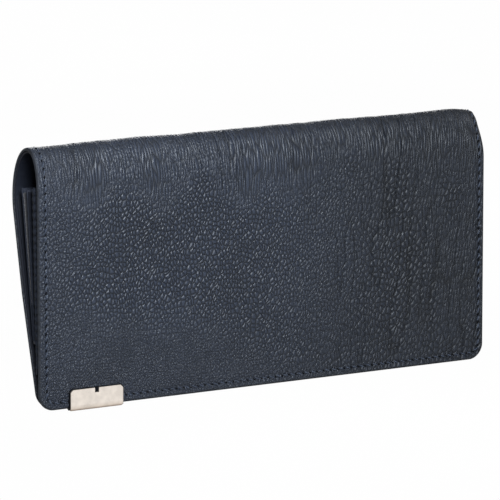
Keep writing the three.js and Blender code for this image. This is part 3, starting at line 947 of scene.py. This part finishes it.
def add_flap_pocket():
    low, high = box_mm("flap_pocket")
    face = low[1] - FRONT
    thick = high[1] - low[1]
    foot, mouth, half = low[2] - BASE, high[2] - BASE, high[0]
    piece = leaf("flap_pocket_panel", foot, mouth, half, lambda h: face + 0 * h, thick - 0.03,
                 0.12, True, 0.02, 82)
    dress(piece, "flap", "lining_leather", POCKET_LEATHER, "flap_pocket")
    rear = lambda h: face + thick + 0.02 + 0 * h
    runs = {"mouth": ((-half + 3, mouth - 2.2), (half - 3, mouth - 2.2)),
            "foot": ((-half + 2, foot + 1.6), (half - 2, foot + 1.6)),
            "left": ((-half + 1.6, foot + 3), (-half + 1.6, mouth - 1)),
            "right": ((half - 1.6, foot + 3), (half - 1.6, mouth - 1))}
    for where, ends in runs.items():
        extra = 0.10 if where == "mouth" else 0.0
        straight_seam(f"flap_pocket_seam_{where}", "flap", ends,
                      lambda h, e=extra: rear(h) + e, 1.0)


def add_card_panel():
    backing = leaf("card_backing", CARD_LOW, CARD_TOP, POUCH_HALF,
                   lambda h: CARD_REAR(h) - CARD_THICK, CARD_THICK - 0.04, 0.0, False, 0.02, 83)
    dress(backing, "card_panel", "cover_leather", POCKET_LEATHER, "card_panel")
    for i, mouth in enumerate(SLOT_MOUTHS):
        low = max(SLOT_LOWEST, mouth - SLOT_DEPTH)
        front = CARD_THICK + (i + 1) * SLOT_STEP
        face = lambda h, f=front: CARD_REAR(h) - f + 0.06
        piece = leaf(f"card_slot_leather_{i + 1}", low, mouth, POUCH_HALF, face, SLOT_THICK - 0.08,
                     0.07, False, 0.02, 84 + i)
        dress(piece, "card_panel", "lining_leather", POCKET_LEATHER, f"card_slot_{i + 1}")
        for side, x0, x1 in (("left", -POUCH_HALF + 4, -2.5), ("right", 2.5, POUCH_HALF - 4)):
            straight_seam(f"card_slot_seam_{i + 1}_{side}", "card_panel",
                          ((x0, mouth - 2.3), (x1, mouth - 2.3)),
                          lambda h, f=face: f(h) - 0.10, -1.0)
        bottom = SLOT_MOUTHS[i + 1] + 0.6 if i + 1 < len(SLOT_MOUTHS) else low + 2
        for side, word in SIDES:
            straight_seam(f"card_divider_{i + 1}_{word}", "card_panel",
                          ((side * 1.1, bottom), (side * 1.1, mouth - 0.8)),
                          lambda h, f=face: f(h) - 0.04, -1.0)
    for side, word in SIDES:
        add_card_binding(side, word)


def add_card_binding(side, word):
    """The card panel's end is bound and over-sewn, so its edge is scalloped."""
    heights = np.linspace(CARD_LOW + 2.5, CARD_TOP + 0.5, 330)
    turn = np.linspace(0, 2 * math.pi, 24, endpoint=False)
    share = (heights - CARD_LOW) / (CARD_TOP - CARD_LOW)
    scallop = np.abs(np.sin(math.pi * heights / 2.9)) ** 0.7
    round_top = np.sqrt(np.clip((CARD_TOP + 0.9 - heights) / 1.4, 0.0, 1.0))
    half_depth = (0.80 + 0.45 * share) * (0.70 + 0.30 * scallop) * (0.3 + 0.7 * round_top)
    middle = CARD_REAR(heights) - 1.35 + 0.05 * share
    reach = 0.60 + 0.45 * scallop
    centre_x = side * (POUCH_HALF - 0.35)
    rows = []
    for z, half, mid, out, cap in zip(heights, half_depth, middle, reach, round_top):
        across = np.cos(turn)
        bulge = np.sign(across) * np.abs(across) ** 0.7
        y = FRONT + mid + half * bulge
        x = centre_x + side * np.where(np.sin(turn) > 0, out * (0.5 + 0.5 * cap), 1.6) * np.sin(turn)
        rows.append(np.stack([x, y, np.full_like(y, BASE + z)], -1))
    piece = tube(f"card_binding_{word}", np.array(rows), side)
    # the edge colour grows on each scallop, and over the top 2.5 mm it is painted light, where the
    # binding faces the light
    edge_and_lit_top = 0.1 + 0.9 * scallop + 1.6 * smooth((heights - CARD_TOP + 2.5) / 1.5)
    set_value(piece, "edge", np.repeat(edge_and_lit_top, len(turn)))
    dress(piece, "card_panel", "lining_leather", GUSSET_LEATHER)


def add_coin_pocket():
    front = leaf("coin_leather_front", COIN_LOW, COIN_TOP, POUCH_HALF,
                 lambda h: COIN_FRONT(h) + 0.12, COIN_WALL - 0.14, 0.12, False, 0.04, 91)
    dress(front, "coin_pocket", "lining_leather", POCKET_LEATHER, "coin_wall_front")
    rear = leaf("coin_leather_rear", COIN_LOW, COIN_TOP, POUCH_HALF,
                lambda h: COIN_REAR(h) - COIN_WALL + 0.02, COIN_WALL - 0.14, 0.12, True, 0.04, 92)
    dress(rear, "coin_pocket", "lining_leather", POCKET_LEATHER, "coin_wall_rear")
    for word, face, way in (("front", lambda h: COIN_FRONT(h) - 0.03, -1.0),
                            ("rear", lambda h: COIN_REAR(h) + 0.03, 1.0)):
        straight_seam(f"coin_seam_{word}", "coin_pocket",
                      ((-POUCH_HALF + 3, COIN_TOP - 2.4), (POUCH_HALF - 3, COIN_TOP - 2.4)),
                      face, way)
    for side, word in SIDES:
        add_end_bead(f"coin_edge_front_{word}", side, COIN_FRONT)
        add_end_bead(f"coin_edge_rear_{word}", side, lambda h: COIN_REAR(h) - COIN_WALL)


def add_end_bead(name, side, depth):
    """The turned end of a pocket wall, a little thicker than the wall."""
    heights = np.linspace(COIN_LOW + 1, COIN_TOP + 0.2, 110)
    turn = np.linspace(0, 2 * math.pi, 16, endpoint=False)
    rows = []
    for z in heights:
        cap = math.sqrt(max(0.02, min(1.0, (COIN_TOP + 0.5 - z) / 1.1)))
        half = (0.34 + 0.05 * math.sin(z * 1.7) * math.sin(z * 0.63)) * (0.4 + 0.6 * cap)
        y = FRONT + depth(z) + COIN_WALL / 2 + half * np.cos(turn)
        x = side * (POUCH_HALF - 0.3) + side * 0.55 * cap * np.sin(turn)
        rows.append(np.stack([x, y, np.full_like(y, BASE + z)], -1))
    piece = tube(name, np.array(rows), side)
    # over the top 3 mm the edge colour grows: painted light, where the bead faces the light
    edge_and_lit_top = 0.45 + 2.2 * smooth((heights - COIN_TOP + 3.0) / 1.5)
    set_value(piece, "edge", np.repeat(edge_and_lit_top, len(turn)))
    dress(piece, "coin_pocket", "lining_leather", GUSSET_LEATHER)


# ---- Folded gussets ----
def gusset(name, side, near, far, low=38.0, top=COIN_TOP - 0.7, fold=8.0, thick=0.3, seed=95):
    """A strip folded inwards between two leaning faces at one end of the wallet."""
    heights = np.linspace(low, top, 40)
    arm = np.linspace(0, 1, 14)
    bend = np.linspace(-math.pi / 2, math.pi / 2, 11)[1:-1]
    end = side * (POUCH_HALF - 0.15)
    rows = []
    for h in heights:
        a, b = near(h) + 0.36, far(h) - 0.36
        gap = b - a
        deep = fold - gap / 2 + 0.6 * noise(np.array([h / 14]), np.array([side * 3.0]), seed)[0]
        soft = 0.10 * gap * np.sin(math.pi * arm) * (1 + 0.4 * math.sin(h / 5.0))
        one = np.stack([end - side * deep * arm, a + soft], -1)
        two = np.stack([end - side * deep * arm[::-1], b - soft[::-1]], -1)
        round_x = end - side * (deep + gap / 2 * np.cos(bend))
        round_y = (a + b) / 2 + gap / 2 * np.sin(bend)
        path = np.vstack([one, np.stack([round_x, round_y], -1), two])
        along = np.gradient(path, axis=0)
        along /= np.linalg.norm(along, axis=1, keepdims=True)
        across = np.stack([-along[:, 1], along[:, 0]], -1) * thick / 2
        rows.append([[(p[0], FRONT + p[1], BASE + h) for p in face]
                     for face in (path + across, path - across)])
    faces = np.array(rows)
    piece = sheet(name, faces[:, 0], faces[:, 1], 0.05)
    mark_rim(piece, len(heights) * len(path), 0.25)
    return piece


def between(near, far, height):
    """Start and end of the bend of a gusset, across the middle half of the gap at a height."""
    seam = np.array([4.3, CARD_LOW])
    a, b = near(height), far(height)
    middle = np.array([(a + b) / 2, height]) - seam
    across = np.array([middle[1], -middle[0]]) / np.linalg.norm(middle)
    centre = seam + middle
    reach = (b - a) / 4
    ends = centre - reach * across, centre + reach * across
    return [Vector((0, FRONT + p[0], BASE + p[1])) * MM for p in ends]


def add_gussets():
    coin_in = leaning(COIN_LOW, 5.6, COIN_TOP, 10.5)
    coin_out = leaning(COIN_LOW, 5.7, COIN_TOP, 13.7)
    for side, word in SIDES:
        piece = gusset(f"gusset_front_{word}", side, CARD_REAR, COIN_FRONT, seed=95)
        near, far = between(CARD_REAR, COIN_FRONT, COIN_TOP - 1)
        dress(piece, None, "lining_leather", GUSSET_LEATHER, f"front_gusset_{word}")
        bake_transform(piece)
        piece = gusset(f"gusset_rear_{word}", side, COIN_REAR, BACK_INNER, seed=96)
        near, far = between(COIN_REAR, BACK_INNER, COIN_TOP - 1)
        dress(piece, None, "lining_leather", GUSSET_LEATHER, f"rear_gusset_{word}")
        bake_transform(piece)
        piece = gusset(f"gusset_coin_{word}", side, coin_in, coin_out,
                       top=COIN_TOP - 1.5, fold=7.0, seed=97)
        dress(piece, "coin_pocket", "pocket_fabric", FABRIC, f"coin_gusset_{word}")


# ---- Zip ----
CHAIN_HALF, CHAIN_LOW, CHAIN_HEIGHT = 77.0, COIN_TOP + 1.4, 1.4
CHAIN_DEPTH = (COIN_FRONT(COIN_TOP) + COIN_REAR(COIN_TOP)) / 2
TAPE_HALF = 0.16              # half the tape's thickness


def zip_tape(name, wall, side, node):
    """A tape sewn inside a pocket wall that curves over to the teeth."""
    t = np.linspace(0, 1, 22)
    top = CHAIN_LOW + 0.55
    foot = COIN_TOP - 7
    heights = foot + (top - foot) * smooth(t * 0.85) / smooth(0.85)
    over = smooth((t - 0.45) / 0.55)
    xs = np.linspace(-CHAIN_HALF, CHAIN_HALF, 170)
    wall_depth = wall(heights)
    edge = CHAIN_DEPTH + side * 1.15
    depth = wall_depth * (1 - over) + edge * over
    x = np.broadcast_to(xs[None, :], (len(t), len(xs)))
    wobble = 0.04 * noise(x / 5, heights[:, None] / 3, 98)
    z = np.broadcast_to(BASE + heights[:, None], x.shape)
    mid = np.stack([x, FRONT + depth[:, None] + wobble, z], -1)
    slope = np.gradient(np.stack([depth, heights], -1), axis=0)
    slope /= np.linalg.norm(slope, axis=1, keepdims=True)
    across = np.stack([np.zeros(len(t)), -slope[:, 1], slope[:, 0]], -1)[:, None, :] * TAPE_HALF
    piece = sheet(name, mid + across, mid - across, 0.05)
    return dress(piece, "coin_pocket", "zip_tape", TAPE, node)


def zip_teeth(name, side, node):
    """One row of rounded metal teeth, each gripping the tape's beaded edge."""
    points, faces = [], []
    pitch = 1.5
    first = -CHAIN_HALF + 0.6 + (0 if side < 0 else pitch / 2)
    # a tooth's outline, as half width and distance from the chain's middle
    profile = [(0.36, 1.55), (0.36, 0.45), (0.46, 0.12), (0.40, -0.22), (0.20, -0.34)]
    profile += [(-w, d) for w, d in profile[::-1]]
    levels = ((0.0, 0.80), (0.22, 1.0), (CHAIN_HEIGHT - 0.22, 1.0), (CHAIN_HEIGHT, 0.80))
    for x in np.arange(first, CHAIN_HALF - 0.5, pitch):
        faces += ring_faces(len(points), len(levels), len(profile), side > 0)
        for level, shrink in levels:
            for w, d in profile:
                depth = CHAIN_DEPTH + side * (0.6 + (d - 0.6) * (shrink if d > 0.6 else 1.0))
                points.append((x + w * shrink, FRONT + depth, BASE + CHAIN_LOW + level))
    piece = build(name, np.array(points), faces, 35)
    return dress(piece, "coin_pocket", "zip_metal", ZIP_NICKEL, node)


def add_zip():
    zip_tape("tape_front", leaning(COIN_LOW, 5.0 + 0.95, COIN_TOP, 9.9 + 0.95), -1, "zip_tape_front")
    zip_tape("tape_rear", leaning(COIN_LOW, 6.3 - 0.95, COIN_TOP, 14.3 - 0.95), 1, "zip_tape_rear")
    zip_teeth("teeth_front", -1, "zip_teeth_front")
    zip_teeth("teeth_rear", 1, "zip_teeth_rear")
    for node in ("zip_stop_left", "zip_stop_right", "zip_slider", "zip_pull"):
        carried = frame["nodes"][node]
        carried.data.materials.clear()
        carried.data.materials.append(ZIP_NICKEL)
        round_edges(carried, 0.12, 40)


# ---- Camera, light and floor ----
LIGHTS = (("key", (-0.23, -0.46, 0.35), (0.18, 0.18), 11.5),    # name, place, size, power
          ("fill", (-1.10, -0.80, 0.40), (0.5, 0.5), 0.3),
          ("top", (0.0, 0.20, 1.2), (1.0, 0.6), 4.4),
          ("rear", (0.30, 0.90, 0.38), (0.70, 0.50), 7.0),
          ("side", (1.00, 0.05, 0.40), (0.40, 0.40), 2.0))
LIT_POINT = Vector((0, 0, 0.045))
AZIMUTH, ELEVATION = math.radians(-30.70), math.radians(10.36)
DISTANCE, LENS = 1.845, 360.9
LOOKED_AT = Vector((-0.00154, 0.0, 0.05013))


def aim(made, place, way):
    """Puts a light or a camera at a place, facing a way."""
    made.location = place
    made.rotation_mode = "QUATERNION"
    made.rotation_quaternion = way.to_track_quat("-Z", "Y")
    bpy.context.scene.collection.objects.link(made)


def add_lights():
    for name, place, size, power in LIGHTS:
        data = bpy.data.lights.new(name, "AREA")
        data.shape = "RECTANGLE"
        data.size, data.size_y = size
        data.energy = power
        aim(bpy.data.objects.new(name, data), place, LIT_POINT - Vector(place))
    world = bpy.data.worlds.new("world")
    bpy.context.scene.world = world
    world.use_nodes = True
    tree = world.node_tree
    height = add_node(tree, "ShaderNodeSeparateXYZ",
                      {0: add_node(tree, "ShaderNodeTexCoord").outputs["Generated"]}).outputs["Z"]
    sky = ramp(tree, height, [(0.03, (1.0,)), (0.10, (0.14,)), (1.0, (0.14,))])
    tree.links.new(sky, tree.nodes["Background"].inputs["Color"])


def add_floor():
    """A wide white floor that gives off its own light, so it carries no shadow."""
    floor, tree, shader = new_material("floor", Roughness=1.0, Specular_IOR_Level=0.0,
                                       Emission_Strength=1.0, Base_Color=(0.0, 0.0, 0.0, 1))
    tone = ramp(tree, noise_at(tree, object_place(tree), 3.0), [(0.2, (0.985,)), (0.8, (1.0,))])
    tree.links.new(tone, shader.inputs["Emission Color"])
    reach = 9.0 / MM
    drop = CAD_BOX[0].z / MM - 0.05
    corners = [(x * reach, y * reach, drop) for x, y in ((-1, -1), (1, -1), (1, 1), (-1, 1))]
    plane = build("floor", np.array(corners), [[0, 1, 2, 3]])
    plane.data.materials.append(floor)


def add_camera():
    back_way = Vector((math.sin(AZIMUTH) * math.cos(ELEVATION),
                       -math.cos(AZIMUTH) * math.cos(ELEVATION), math.sin(ELEVATION)))
    data = bpy.data.cameras.new("camera")
    data.lens = LENS
    data.sensor_width = 36.0
    data.clip_start, data.clip_end = 0.1, 60.0
    camera = bpy.data.objects.new("camera", data)
    aim(camera, LOOKED_AT + back_way * DISTANCE, -back_way)
    bpy.context.scene.camera = camera
    bpy.context.scene.view_settings.view_transform = "Standard"


add_lights()
add_floor()
add_camera()
add_cover()
add_cover_seams()
add_plate()
add_flap_pocket()
add_card_panel()
add_coin_pocket()
add_gussets()
add_zip()
